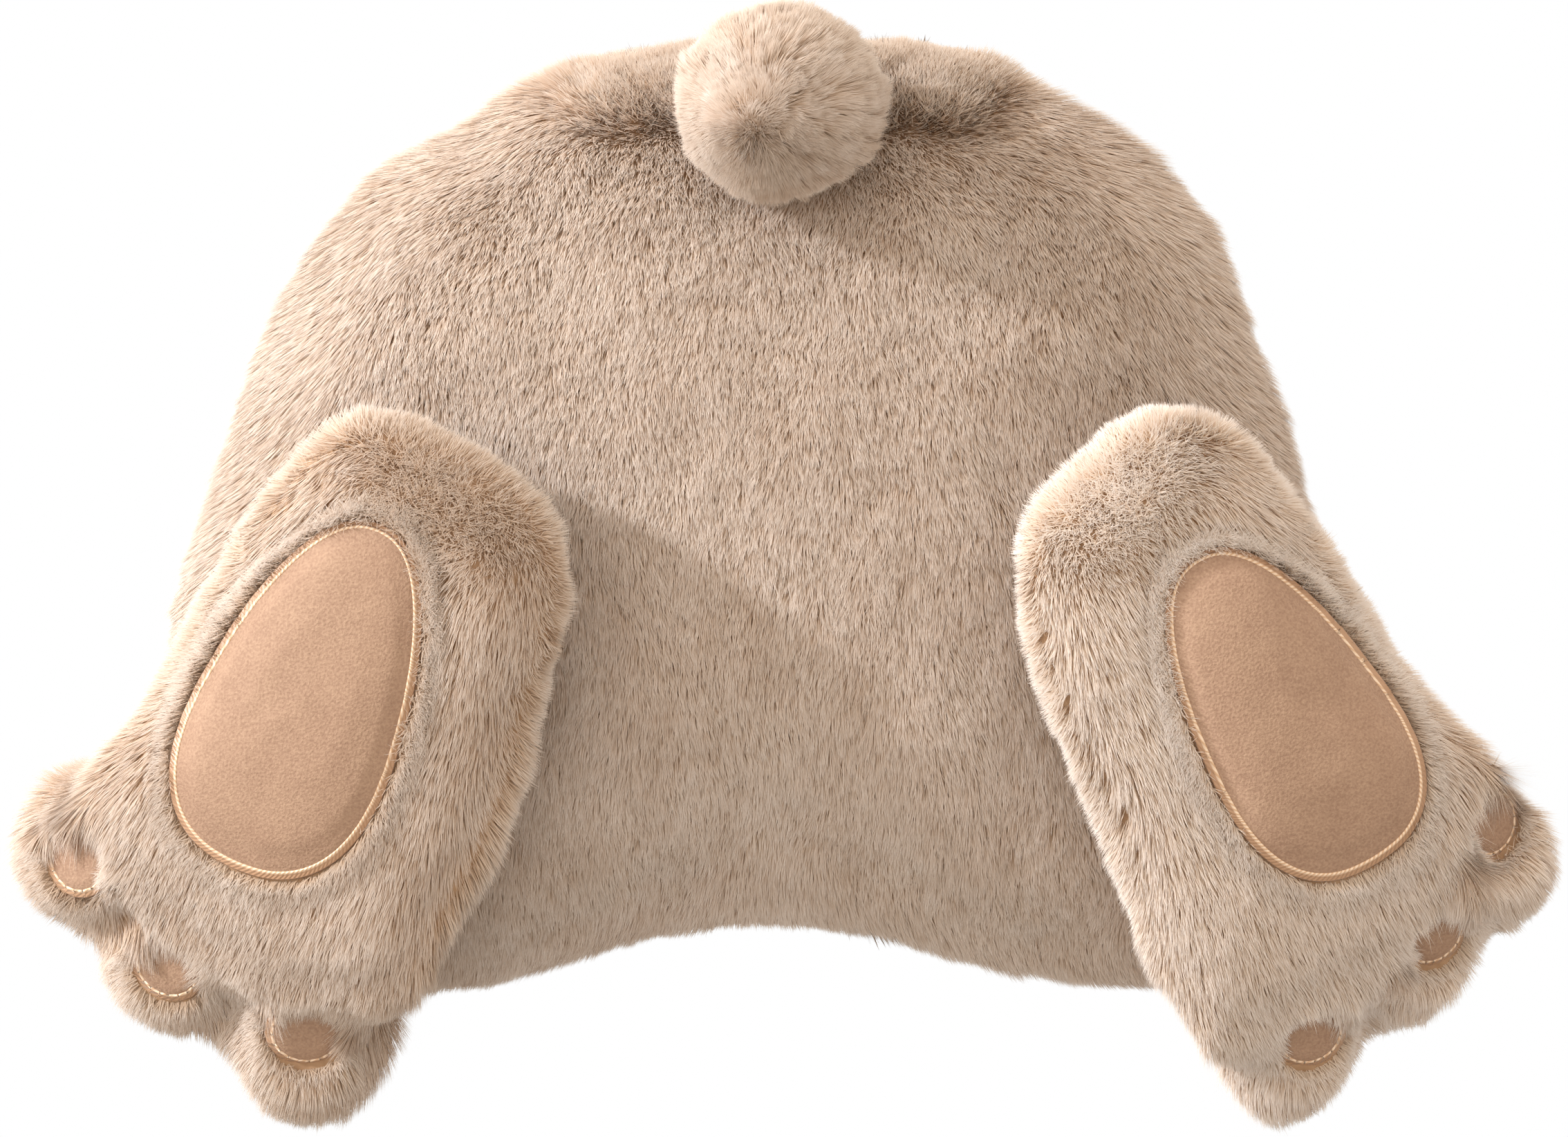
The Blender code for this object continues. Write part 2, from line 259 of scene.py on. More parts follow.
@dataclass(frozen=True)
class BrushedPile(Finish):
    """Long brushed polyester pile: matt, brown at the root and pale at the tip.

    A lock's place across the map is its tint, and it runs up the map from root to tip.
    """

    name: str = "long brushed polyester pile"
    roughness: float = 0.85
    specular: float = 0.2
    sheen: float = 0.4
    sheen_roughness: float = 0.4
    sheen_tint: str = "#FFFDFA"
    dark_stops: Stops = ((0.0, "#B29073"), (0.45, "#C4A68A"), (0.85, "#D3BFAC"), (1.0, "#DCCBBA"))
    pale_stops: Stops = ((0.0, "#D9BFA6"), (0.45, "#E5D1BC"), (0.85, "#EFE4DA"), (1.0, "#F5EEE8"))
    let_through: float = 0.35

    def add_colour(self, tree: Tree, shader: Node) -> None:
        """Adds the colour, and the light that comes through the locks."""
        uv = add_node(tree, "UVMap", uv_map="OFBake")
        tint, rise, _ = add_node(tree, "SeparateXYZ", {0: uv.outputs[0]}).outputs
        colour = mixed(tree, tint, ramp(tree, rise, self.dark_stops), ramp(tree, rise, self.pale_stops))
        feed(tree, shader, {"Base Color": colour})
        through = add_node(tree, "BsdfTranslucent", {"Color": colour})
        shaders = {0: self.let_through, 1: shader.outputs[0], 2: through.outputs[0]}
        both = add_node(tree, "MixShader", shaders)
        feed(tree, tree.nodes["Material Output"], {"Surface": both.outputs[0]})


@dataclass(frozen=True)
class KnittedBacking(Finish):
    """The knitted polyester cloth that the pile stands on: brown, seen only deep between the locks."""

    name: str = "knitted polyester backing"
    roughness: float = 0.95
    specular: float = 0.1
    stops: Stops = ((0.3, "#96765A"), (0.7, "#AE8E70"))
    patch_mm: float = 6.0

    def add_colour(self, tree: Tree, shader: Node) -> None:
        """Adds the colour, a little patchy."""
        place = add_node(tree, "TexCoord").outputs["Object"]
        feed(tree, shader, {"Base Color": ramp(tree, noise(tree, place, self.patch_mm), self.stops)})


@dataclass(frozen=True)
class ShearedVelour(Finish):
    """Sheared polyester velour: a fine grain, soft shading where it was stroked, and a faint sheen."""

    name: str = "sheared polyester velour"
    roughness: float = 0.75
    specular: float = 0.25
    sheen: float = 0.5
    sheen_roughness: float = 0.35
    sheen_tint: str = "#FFE6D2"
    stops: Stops = ((0.34, "#91725D"), (0.66, "#A88971"))
    grain_mm: float = 1.0
    grain_detail: float = 3.0
    grain_depth_mm: float = 0.4
    grain_strength: float = 0.9
    stroke_mm: float = 16.0
    stroke_share: float = 0.25

    def add_colour(self, tree: Tree, shader: Node) -> None:
        """Adds the colour and the grain."""
        place = add_node(tree, "TexCoord").outputs["Object"]
        # Real velour's grain is about 0.3 mm; it is drawn coarser here, as that is too fine to show.
        grain = noise(tree, place, self.grain_mm, self.grain_detail)
        stroke = noise(tree, place, self.stroke_mm)
        both = add_node(tree, "Mix", {0: self.stroke_share, 2: grain, 3: stroke}, data_type="FLOAT")
        inputs = {
            "Base Color": ramp(tree, both.outputs[0], self.stops),
            "Normal": bumped(tree, grain, self.grain_depth_mm, self.grain_strength),
        }
        feed(tree, shader, inputs)


@dataclass(frozen=True)
class RayonStitch(Finish):
    """Satin stitch in rayon thread: a glossy cord of slanting threads, and a tan strip outside it."""

    name: str = "rayon satin stitch"
    roughness: float = 0.4
    sheen: float = 0.2
    stops: Stops = ((0.1, "#C9A27D"), (0.7, "#E3C8AC"))
    strip: str = "#AE8767"
    strip_mm: Pair = (1.2, 1.5)
    thread_mm: float = 0.8
    thread_depth_mm: float = 0.2
    thread_strength: float = 0.6
    unevenness: float = 0.8

    def add_colour(self, tree: Tree, shader: Node) -> None:
        """Adds the colour and the threads' relief."""
        # The real thread is 0.4 mm thick; it is drawn coarser here, as that is too fine to show.
        along = add_node(tree, "UVMap", uv_map="thread").outputs[0]
        inputs = {
            "Vector": along,
            "Scale": math.pi / 10 / self.thread_mm,
            "Distortion": self.unevenness,
            "Detail": 1.0,
        }
        wave = add_node(tree, "TexWave", inputs, bands_direction="DIAGONAL").outputs["Fac"]
        _, aside, _ = add_node(tree, "SeparateXYZ", {0: along}).outputs
        low, high = self.strip_mm
        outside = add_node(tree, "MapRange", {"Value": aside, "From Min": low, "From Max": high})
        cord = ramp(tree, wave, self.stops)
        inputs = {
            "Base Color": mixed(tree, outside.outputs[0], cord, linear(self.strip)),
            "Normal": bumped(tree, wave, self.thread_depth_mm, self.thread_strength),
        }
        feed(tree, shader, inputs)


@dataclass(frozen=True)
class LitAcrylic(Finish):
    """The white acrylic of a light table, lit from below, so that no shadow shows on it."""

    name: str = "white acrylic lit from below"
    specular: float = 0.0
    glow: float = 1.0

    def add_colour(self, tree: Tree, shader: Node) -> None:
        """Adds the glow, which is all that shows."""
        inputs = {
            "Base Color": linear("#000000"),
            "Emission Color": linear("#FFFFFF"),
            "Emission Strength": self.glow,
        }
        feed(tree, shader, inputs)


# Meshes


def deselect_all() -> None:
    """Leaves nothing selected, so that an operator acts only on what is selected next."""
    for item in list(bpy.context.selected_objects):
        item.select_set(False)


def linked(name: str, data: bpy.types.ID) -> bpy.types.Object:
    """Puts a mesh, a light or a camera into the scene."""
    thing = bpy.data.objects.new(name, data)
    bpy.context.scene.collection.objects.link(thing)
    return thing


def add_piece(name: str, mesh: bpy.types.Mesh) -> bpy.types.Object:
    """Puts a mesh into the scene, selected alone and active."""
    deselect_all()
    piece = linked(name, mesh)
    piece.select_set(True)
    bpy.context.view_layer.objects.active = piece
    return piece


def mesh_from(name: str, points: Array, corners: Array, sides: int) -> bpy.types.Mesh:
    """A smooth mesh from arrays.

    Args:
        name: the mesh's name.
        points: the vertices, one in each row.
        corners: the vertex numbers of the faces, one after another.
        sides: how many corners each face has.

    Returns:
        The mesh.
    """
    mesh = bpy.data.meshes.new(name)
    count = len(corners) // sides
    mesh.vertices.add(len(points))
    move_points(mesh, points)
    mesh.loops.add(len(corners))
    mesh.loops.foreach_set("vertex_index", corners.astype(np.int32))
    mesh.polygons.add(count)
    mesh.polygons.foreach_set("loop_start", np.arange(0, len(corners), sides, dtype=np.int32))
    mesh.update(calc_edges=True)
    mesh.shade_smooth()
    return mesh


def set_uv(mesh: bpy.types.Mesh, name: str, places: Array) -> None:
    """Adds a UV map, given a place for each face corner."""
    layer = mesh.uv_layers.new(name=name)
    layer.uv.foreach_set("vector", places.astype(np.float32).ravel())


def threes(items: bpy.types.bpy_prop_collection, name: str, kind: type = np.float32) -> Array:
    """The three numbers that each item keeps under a name, one item in each row."""
    values = np.empty(len(items) * 3, kind)
    items.foreach_get(name, values)
    return values.reshape(-1, 3)


def points_of(mesh: bpy.types.Mesh) -> Array:
    """The mesh's vertices, one in each row."""
    return threes(mesh.vertices, "co").astype(float)


def move_points(mesh: bpy.types.Mesh, points: Array) -> None:
    """Moves the mesh's vertices to these points."""
    mesh.vertices.foreach_set("co", points.astype(np.float32).ravel())


def node_points(node: str) -> Array:
    """The vertices of a CAD node, one in each row."""
    return points_of(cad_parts[node].data)


def node_surface(node: str) -> BVHTree:
    """The surface of a CAD node, for rays and for the nearest point."""
    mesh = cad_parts[node].data
    faces = [tuple(face.vertices) for face in mesh.polygons]
    return BVHTree.FromPolygons([vertex.co for vertex in mesh.vertices], faces)


def smooth(piece: bpy.types.Object, times: int) -> None:
    """Evens out the active piece, and applies any modifier that it already has."""
    even = piece.modifiers.new("even out", "SMOOTH")
    even.factor = 0.5
    even.iterations = times
    for name in [modifier.name for modifier in piece.modifiers]:
        bpy.ops.object.modifier_apply(modifier=name)


def finish_piece(
    piece: bpy.types.Object, material: Material, nodes: tuple[str, ...] = ()
) -> None:
    """Gives a piece its finish and its place in the object.

    Args:
        piece: the piece.
        material: its material.
        nodes: the CAD nodes that it stands for.
    """
    piece.data.materials.clear()
    piece.data.materials.append(material)
    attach(piece, BODY)
    if nodes:
        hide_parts(*nodes)
    LOG.info("%s: %d vertices, %d faces", piece.name, len(piece.data.vertices), len(piece.data.polygons))


# Patches and their edging


@dataclass
class SewnPatch:
    """A short-pile patch and the band of satin stitch round it, both laid where their CAD nodes are.

    Attributes:
        node: the patch's CAD node.
        edging: the CAD node of the stitch round it.
        steps: how many points the round of the outline has.
        rings: how many rings of faces the patch has from middle to edge.
        puff_mm: how far the filling swells the patch.
        band_profile: the band's cross-section: how far outside the patch's edge, and how high, in mm.
        band_inner_mm: how far inside the band's middle line its cross-section starts.
        level_share: the share of the way out beyond which the patch keeps one height.
        tuck_mm: how far the stitch draws down its edge, from tuck_from of the way out.
    """

    node: str
    edging: str
    steps: int
    rings: int
    puff_mm: float
    band_profile: tuple[Pair, ...] = (
        (-0.1, -0.6),
        (0.0, 0.5),
        (0.35, 0.95),
        (0.85, 0.95),
        (1.2, 0.5),
        (1.4, 0.15),
        (2.9, 0.1),
        (3.3, -0.6),
    )
    band_inner_mm: float = 1.7
    angle_blur_deg: float = 5.0
    ring_crowding: float = 1.3
    level_share: float = 0.9
    tuck_mm: float = 1.2
    tuck_from: float = 0.93
    ripple: Waver = Waver(0.25, 14.0, 5)
    thickness_mm: float = 1.5
    centre: Array = field(init=False)
    normal: Array = field(init=False)
    across: Array = field(init=False)
    along: Array = field(init=False)
    outline: Array = field(init=False)
    bearings: Array = field(init=False)
    reaches: Array = field(init=False)

    def __post_init__(self) -> None:
        """Measures the patch's plane and outline on the CAD node of its edging."""
        points = node_points(self.edging)
        self.centre = (points.max(axis=0) + points.min(axis=0)) / 2
        spokes = points - self.centre
        _, _, axes = np.linalg.svd(spokes, full_matrices=False)
        self.along, self.normal = axes[0], axes[2] * np.sign(axes[2][2])
        self.across = np.cross(self.normal, self.along)
        places = np.arctan2(spokes @ self.across, spokes @ self.along)
        turns = math.tau * np.arange(self.steps) / self.steps
        apart = (places[None, :] - turns[:, None] + math.pi) % math.tau - math.pi
        weight = np.exp(-0.5 * (apart / math.radians(self.angle_blur_deg)) ** 2)
        self.outline = (weight @ points) / weight.sum(axis=1, keepdims=True)
        rims = self.outline - self.centre
        bearings = np.arctan2(rims @ self.across, rims @ self.along)
        order = np.argsort(bearings)
        self.bearings = bearings[order]
        self.reaches = np.hypot(rims @ self.across, rims @ self.along)[order]

    def clearance(self, places: Array) -> Array:
        """How far outside the band's middle line each point is, seen along the patch's normal."""
        spokes = places - self.centre
        side, ahead = spokes @ self.across, spokes @ self.along
        reach = np.interp(np.arctan2(side, ahead), self.bearings, self.reaches, period=math.tau)
        return np.hypot(side, ahead) - reach

    def height(self, places: Array) -> Array:
        """How far above the patch's plane each point is."""
        return (places - self.centre) @ self.normal

    def outward(self, places: Array) -> Array:
        """The direction from the patch's middle to each point, in its plane."""
        spokes = places - self.centre
        return unit(spokes - (spokes @ self.normal)[:, None] * self.normal)

    def build_velour(self, material: Material) -> None:
        """Builds the patch, domed by the filling and drawn down where it is stitched."""
        surface = node_surface(self.node)
        above = self.normal * 30 * MM
        shares = 1 - (np.arange(self.rings) / self.rings) ** self.ring_crowding
        spokes = self.outline - self.centre
        rows = []
        for share in shares:
            row = self.centre + spokes * share
            inside = self.centre + spokes * min(share, self.level_share)
            for number, place in enumerate(inside):
                hit = surface.ray_cast(Vector(place + above), Vector(-self.normal))[0]
                if hit is not None:
                    lift = (np.array(hit) - place) @ self.normal
                    row[number] += self.normal * lift
            puff = self.puff_mm * (1 - share**4) - self.tuck_mm * eased(share, self.tuck_from, 1.0)
            ripple = self.ripple.at(row)[:, None] * (1 - share**2)
            rows.append(row + self.normal * MM * (puff + ripple))
        base = rows[0] - self.normal * self.thickness_mm * MM
        middle = rows[-1].mean(axis=0)
        points = np.concatenate([base, *rows, [middle], [base.mean(axis=0)]])
        top, bottom = len(points) - 2, len(points) - 1
        faces = []
        for ring, step in itertools.product(range(self.rings), range(self.steps)):
            after = (step + 1) % self.steps
            low, high = ring * self.steps, (ring + 1) * self.steps
            faces += [(low + step, low + after, high + after), (low + step, high + after, high + step)]
        last = self.rings * self.steps
        for step in range(self.steps):
            after = (step + 1) % self.steps
            faces += [(last + step, last + after, top), (after, step, bottom)]
        name = f"{self.node}_velour"
        piece = add_piece(name, mesh_from(name, points, np.array(faces).ravel(), 3))
        finish_piece(piece, material, (self.node,))

    def build_band(self, material: Material) -> None:
        """Builds the band of satin stitch, a low rounded ridge with its threads across it."""
        path = self.outline
        heading = unit(np.roll(path, -1, axis=0) - np.roll(path, 1, axis=0))
        outward = unit(np.cross(heading, self.normal))
        upward = np.cross(outward, heading)
        sides = len(self.band_profile)
        rings = [
            path + (outward * (aside - self.band_inner_mm) + upward * height) * MM
            for aside, height in self.band_profile
        ]
        points = np.stack(rings, axis=1).reshape(-1, 3)
        length = np.linalg.norm(np.roll(path, -1, axis=0) - path, axis=1).sum() / MM
        corners, thread, spread = [], [], []
        for step, side in itertools.product(range(self.steps), range(sides)):
            for ahead, beside in ((0, 0), (1, 0), (1, 1), (0, 1)):
                row, column = (step + ahead) % self.steps, (side + beside) % sides
                corners.append(row * sides + column)
                run = (step + ahead) / self.steps
                thread.append((run * length, self.band_profile[column][0]))
                spread.append((run, (side + beside) / sides))
        name = f"{self.node}_satin_stitch"
        mesh = mesh_from(name, points, np.array(corners), 4)
        set_uv(mesh, "OFBake", np.array(spread))
        set_uv(mesh, "thread", np.array(thread))
        piece = add_piece(name, mesh)
        finish_piece(piece, material, (self.edging,))


# Skins

# The lowest points of the skins and of the pile lie this far above the floor.
SKIN_LEVEL_MM = 0.6
PILE_LEVEL_MM = 0.3
# How far below the skin the locks are rooted.
ROOT_MM = 0.8


@dataclass
class Outline:
    """A CAD node's outline, seen from above, as its reach at each bearing from a middle point."""

    node: str
    middle: Pair
    sectors: int = 90
    window_deg: float = 5.0
    bearings: Array = field(init=False)
    reaches: Array = field(init=False)

    def __post_init__(self) -> None:
        """Measures how far the CAD node reaches in each direction."""
        spokes = node_points(self.node)[:, :2] - np.array(self.middle)
        self.bearings = (np.arange(self.sectors) + 0.5) * math.tau / self.sectors - math.pi
        apart = np.arctan2(spokes[:, 1], spokes[:, 0])[None, :] - self.bearings[:, None]
        beside = np.cos(apart) > math.cos(math.radians(self.window_deg))
        self.reaches = np.where(beside, np.hypot(spokes[:, 0], spokes[:, 1])[None, :], 0).max(axis=1)

    def inside(self, places: Array) -> Array:
        """How far inside the outline each place is."""
        spokes = places[:, :2] - np.array(self.middle)
        bearings = np.arctan2(spokes[:, 1], spokes[:, 0])
        reach = np.interp(bearings, self.bearings, self.reaches, period=math.tau)
        return reach - np.hypot(spokes[:, 0], spokes[:, 1])

    def outward(self, places: Array) -> Array:
        """The level direction from the middle to each place."""
        spokes = places - np.array([*self.middle, 0.0])
        return unit(spokes * np.array([1.0, 1.0, 0.0]))


@dataclass
class PaddedSkin:
    """The cloth of a filled piece, drawn in from its CAD node by the height of the pile.

    Attributes:
        node: the CAD node.
        voxel_mm: the size of the faces.
        inset_mm: the height of the pile.
        fill: how tight the filling is, from 0 to 1; not used.
        lump_mm: how uneven the filling is.
        patches: the patches that lie on the skin, where the pile's hollow already is.
        furrow: how deep a seam draws the skin in at each place, as a share of furrow_mm.
        under_patch_mm: how far the skin is drawn in below a patch.
        hollow_mm, level_mm: where a patch's hollow ends, beside the patch and above or below it.
    """

    node: str
    voxel_mm: float
    inset_mm: float
    fill: float
    lump_mm: float = 0.0
    patches: list[SewnPatch] = field(default_factory=list)
    furrow: Rule | None = None
    furrow_mm: float = 2.0
    under_patch_mm: float = 0.8
    hollow_mm: Pair = (2.0, 9.0)
    level_mm: Pair = (8.0, 14.0)
    points: Array = field(init=False)
    normals: Array = field(init=False)
    triangles: Array = field(init=False)

    def build(self, material: Material) -> None:
        """Builds the skin and keeps its triangles for the pile."""
        name = f"{self.node}_skin"
        piece = add_piece(name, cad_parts[self.node].data.copy())
        remesh = piece.modifiers.new("even cloth", "REMESH")
        remesh.mode = "VOXEL"
        remesh.voxel_size = self.voxel_mm * MM
        smooth(piece, 4)
        mesh = piece.data
        points = points_of(mesh)
        normals = threes(mesh.vertex_normals, "vector").astype(float)
        depth = self.depths(points)
        lumps = Waver(self.lump_mm, 42.0, 11).at(points) * (depth / self.inset_mm)
        if self.furrow:
            lumps = lumps - self.furrow_mm * self.furrow(points)
        points -= normals * (depth - lumps)[:, None] * MM
        points[:, 2] = np.maximum(points[:, 2], SKIN_LEVEL_MM * MM)
        move_points(mesh, points)
        smooth(piece, 3)
        mesh.shade_smooth()
        mesh.calc_loop_triangles()
        self.points = points_of(mesh)
        self.normals = threes(mesh.vertex_normals, "vector").astype(float)
        self.triangles = threes(mesh.loop_triangles, "vertices", np.int32)
        finish_piece(piece, material, (self.node,))

    def depths(self, points: Array) -> Array:
        """How far each point is drawn in, in millimetres: less below the patches."""
        least = self.under_patch_mm
        depth = np.full(len(points), self.inset_mm)
        for patch in self.patches:
            beside = far(patch.clearance(points), self.hollow_mm)
            level = far(np.abs(patch.height(points)), self.level_mm)
            depth = np.minimum(depth, least + (self.inset_mm - least) * np.maximum(beside, level))
        return depth

    def spans(self) -> tuple[Array, Array]:
        """The corners of each triangle, and a vector along its normal, twice its area long."""
        corners = self.points[self.triangles]
        return corners, np.cross(corners[:, 1] - corners[:, 0], corners[:, 2] - corners[:, 0])

    def middles(self) -> tuple[Array, Array]:
        """The middle and the normal of each triangle."""
        corners, across = self.spans()
        return corners.mean(axis=1), unit(across)

    def scatter(
        self, count: int, weight: Array, random: np.random.Generator
    ) -> tuple[Array, Array, float]:
        """Chooses places on the skin.

        Args:
            count: how many.
            weight: how dense they lie on each triangle.
            random: the source of chance.

        Returns:
            The places, the skin's normal at each, and the area that they are spread over.
        """
        corners, across = self.spans()
        chance = np.linalg.norm(across, axis=1) * weight
        chosen = random.choice(len(chance), count, p=chance / chance.sum())
        first, second = random.random((2, count, 1))
        folded = first + second > 1
        first, second = np.where(folded, 1 - first, first), np.where(folded, 1 - second, second)
        shares = np.stack([1 - first - second, first, second], axis=1)
        places = (corners[chosen] * shares).sum(axis=1)
        normals = (self.normals[self.triangles[chosen]] * shares).sum(axis=1)
        return places, unit(normals), chance.sum() / 2


# Pile


@dataclass
class Combing:
    """How the pile lies at each root.

    Attributes:
        sweep: which way it is combed; 0 long where it stands up, 1 or more where it lies down.
        stretch: its length, as a share of the pile's.
        shade: painted light and shade on the pile: how much paler than usual it is painted, less than 0
            where painted shade makes it browner.
    """

    sweep: Array
    stretch: Array
    shade: Array


CombRule = Callable[[Array, Array], Combing]

HIGH_PATCHES = Waver(0.2, 17.0, 31)
HIGH_TUFTS = Waver(0.14, 6.0, 37)
RAGGED_SIDES = Waver(0.3, 7.0, 41)
PALE_PATCHES = Waver(0.1, 26.0, 23)
PALE_STREAKS = Waver(0.13, 9.0, 29)
# The streaks are longer the way that the pile is brushed.
STREAK_SHAPE = np.array([1.0, 0.3, 1.0])
MIDDLE_TINT = 0.55
LEAST_TINT, MOST_TINT = 0.03, 0.97
# How far a lock that would reach over a dimple goes towards it.
SHORT_OF_DIMPLE = 0.85
# How far a lock is shaded as the skin below it, how far as its own face, and how unlike the next.
SKIN_SHADING, LOCK_SHADING, SHADING_SPREAD = 0.8, 0.2, 0.05


def nowhere(places: Array) -> Array:
    """Says that no place is meant."""
    return np.zeros(len(places), bool)


def sideways(normals: Array, most: float = 1.0) -> Array:
    """How far each place is on the side of its piece, from 0 to 1."""
    return eased(1 - normals[:, 2], 0.3, most)


@dataclass(frozen=True)
class PileCut:
    """The sizes of a pile.

    Attributes:
        length_mm: how long a lock is.
        width_mm: how wide a lock is at its root.
        lean_deg: how far a combed lock leans.
        height_mm: how high the tips reach above the skin.
        tuft_mm: how far apart the tufts are.
        gather: how far the locks of a tuft close up, from 0 to 1.
        least_lean: the share of the lean that is left where the pile stands up.
        stray: how unevenly the pile is combed, from place to place.
        jitter: how unevenly the locks lie, from one to the next.
        drift: how far the combing wanders, from one part of the cushion to the next.
        crowding: how much denser the locks are where the pile stands up.
        tuft_fall, lock_fall: how far standing pile falls, tuft by tuft and lock by lock.
        lean_spread: how unlike the locks' leans are, as the other spreads are for their sizes and tint.
    """

    length_mm: float = 12.5
    width_mm: float = 0.65
    lean_deg: float = 64.0
    height_mm: float = 6.0
    tuft_mm: float = 2.6
    gather: float = 0.3
    least_lean: float = 0.55
    stray: float = 0.16
    jitter: float = 0.15
    drift: float = 0.2
    crowding: float = 1.5
    tuft_fall: float = 0.25
    lock_fall: float = 0.4
    lean_spread: float = 0.06
    length_spread: float = 0.08
    height_spread: float = 0.1
    width_spread: float = 0.25
    tint_spread: float = 0.1


@dataclass
class PileCoat:
    """Locks of pile on a skin, each a face that tapers from its root to its tip."""

    name: str
    cut: PileCut
    count: int
    seed: int

    def grow(
        self,
        skin: PaddedSkin,
        weight: Array,
        comb: CombRule,
        material: Material,
        bare: Rule = nowhere,
        parted: Rule = nowhere,
    ) -> None:
        """Sets the locks.

        Args:
            skin: the skin they stand on.
            weight: how dense they stand on each of its triangles.
            comb: how they lie.
            material: their finish.
            bare: true for the places where none stand.
            parted: true for the places that no lock reaches over.
        """
        random = np.random.default_rng(self.seed)
        cut = self.cut
        middles, facings = skin.middles()
        flow = comb(middles, facings).sweep
        flow -= dots(flow, facings) * facings
        standing = 1 - np.clip(np.linalg.norm(flow, axis=1), 0, 1)
        weight = weight * (1 + cut.crowding * standing)
        places, normals, area = skin.scatter(self.count, weight, random)
        covered = ~bare(places)
        places, normals = places[covered], normals[covered]
        count = len(places)
        rule = comb(places, normals)
        spring = self.springs(places, normals, rule, random)
        # Brushed pile is ragged where it is seen against the light, along the sides.
        spring *= (1 + sideways(normals, 0.9) * RAGGED_SIDES.at(places))[:, None]
        for share in (0.25, 0.5, 0.75, 1.0):
            kept = np.where(parted(places + share * spring), SHORT_OF_DIMPLE * share, 1)
            spring *= kept[:, None]
        tips, tuft_tint = self.gathered(places, places + spring, area, random)
        roots = places - normals * ROOT_MM * MM
        run = unit(tips - roots)
        flat = unit(np.cross(normals, run) + 1e-9)
        facing = unit(np.cross(run, flat))
        # Above the rim a lock is seen from over it, so there its face is turned up.
        turned = np.where(dots(facing, normals + 3 * np.maximum(normals[:, 2:], 0) * UP) < 0, -1, 1)
        facing = facing * turned
        half = flat * turned * cut.width_mm / 2 * MM
        half = half * random.uniform(1 - cut.width_spread, 1 + cut.width_spread, (count, 1))
        points = np.stack([roots + half, roots - half, tips], axis=1).reshape(-1, 3)
        points[:, 2] = np.maximum(points[:, 2], PILE_LEVEL_MM * MM)
        mesh = mesh_from(self.name, points, np.arange(count * 3), 3)
        tint = MIDDLE_TINT + cut.tint_spread * random.normal(size=count)
        # The comb's shade is painted light and shade, added to the tint.
        tint = tint + cut.tint_spread * tuft_tint + rule.shade
        # The brush leaves streaks along the cushion, from the tail to the feet.
        tint += PALE_PATCHES.at(places)
        tint += PALE_STREAKS.at(places * STREAK_SHAPE)
        across = np.clip(tint, LEAST_TINT, MOST_TINT)[:, None] + np.array([-0.02, 0.02, 0])
        set_uv(mesh, "OFBake", np.stack([across, np.broadcast_to(UP, across.shape)], axis=2))
        # Pile scatters light along its hairs, so its steep sides aren't much brighter than gentle ones.
        steep = np.maximum(0.75 - normals[:, 2:], 0) * eased(normals[:, 2:], -0.6, 0.0)
        shading = SKIN_SHADING * unit(normals + 1.3 * steep * UP) + LOCK_SHADING * facing
        shading = unit(shading + SHADING_SPREAD * random.normal(size=(count, 3)))
        mesh.normals_split_custom_set_from_vertices(np.repeat(shading, 3, axis=0))
        piece = add_piece(self.name, mesh)
        finish_piece(piece, material)

    def springs(
        self, places: Array, normals: Array, rule: Combing, random: np.random.Generator
    ) -> Array:
        """Lays the locks down as they are combed, each a little unlike the next.

        Args:
            places: the roots.
            normals: the skin's normal at each.
            rule: how the pile lies there.
            random: the source of chance.

        Returns:
            How far each lock's tip lies from its root.
        """
        cut = self.cut
        count = len(places)
        sweep = rule.sweep - dots(rule.sweep, normals) * normals
        strength = np.clip(np.linalg.norm(sweep, axis=1, keepdims=True), 0, 1)
        # Standing pile falls every way, tuft by tuft, so that none is seen end on.
        sweep += (1 - strength) * cut.tuft_fall * noise_vectors(places, 3 * MM, self.seed + 5)
        sweep += (1 - strength) * cut.lock_fall * random.normal(size=(count, 3))
        sweep += cut.stray * noise_vectors(places, 8 * MM, self.seed + 3)
        jitter = cut.jitter * random.normal(size=(count, 3))
        sweep += cut.drift * noise_vectors(places, 30 * MM, 17) + jitter
        sweep -= dots(sweep, normals) * normals
        lean = math.radians(cut.lean_deg) * np.maximum(strength, cut.least_lean)
        lean *= 1 + cut.lean_spread * random.normal(size=(count, 1))
        spring = (normals * np.cos(lean) + unit(sweep) * np.sin(lean)) * cut.length_mm * MM
        spring *= rule.stretch[:, None] * (1 + cut.length_spread * random.normal(size=(count, 1)))
        chance = cut.height_spread * np.abs(random.normal(size=(count, 1)))
        most = cut.height_mm * MM * (1 - cut.height_spread + chance)
        most *= (1 + HIGH_PATCHES.at(places) + HIGH_TUFTS.at(places))[:, None]
        spring *= np.minimum(1, most / np.maximum(dots(spring, normals), 1e-6))
        return spring

    def gathered(
        self, places: Array, tips: Array, area: float, random: np.random.Generator
    ) -> tuple[Array, Array]:
        """Draws the tips of neighbouring locks together into tufts.

        Args:
            places: the roots.
            tips: the tips.
            area: the area that the locks stand on.
            random: the source of chance.

        Returns:
            The tips after gathering, and each lock's tuft's tint.
        """
        tufts = min(int(area / (self.cut.tuft_mm * MM) ** 2) + 1, len(places))
        heads = random.choice(len(places), tufts, replace=False)
        tree = KDTree(tufts)
        for number, head in enumerate(places[heads].tolist()):
            tree.insert(head, number)
        tree.balance()
        nearest = np.array([tree.find(place)[1] for place in places.tolist()])
        pull = self.cut.gather * random.uniform(0.3, 1.3, (len(places), 1))
        shade = random.normal(size=tufts)[nearest]
        return tips + (tips[heads[nearest]] - tips) * pull, shade


# The cushion's pieces


class Side(Enum):
    """Which foot, as seen from above."""

    LEFT = "left"
    RIGHT = "right"


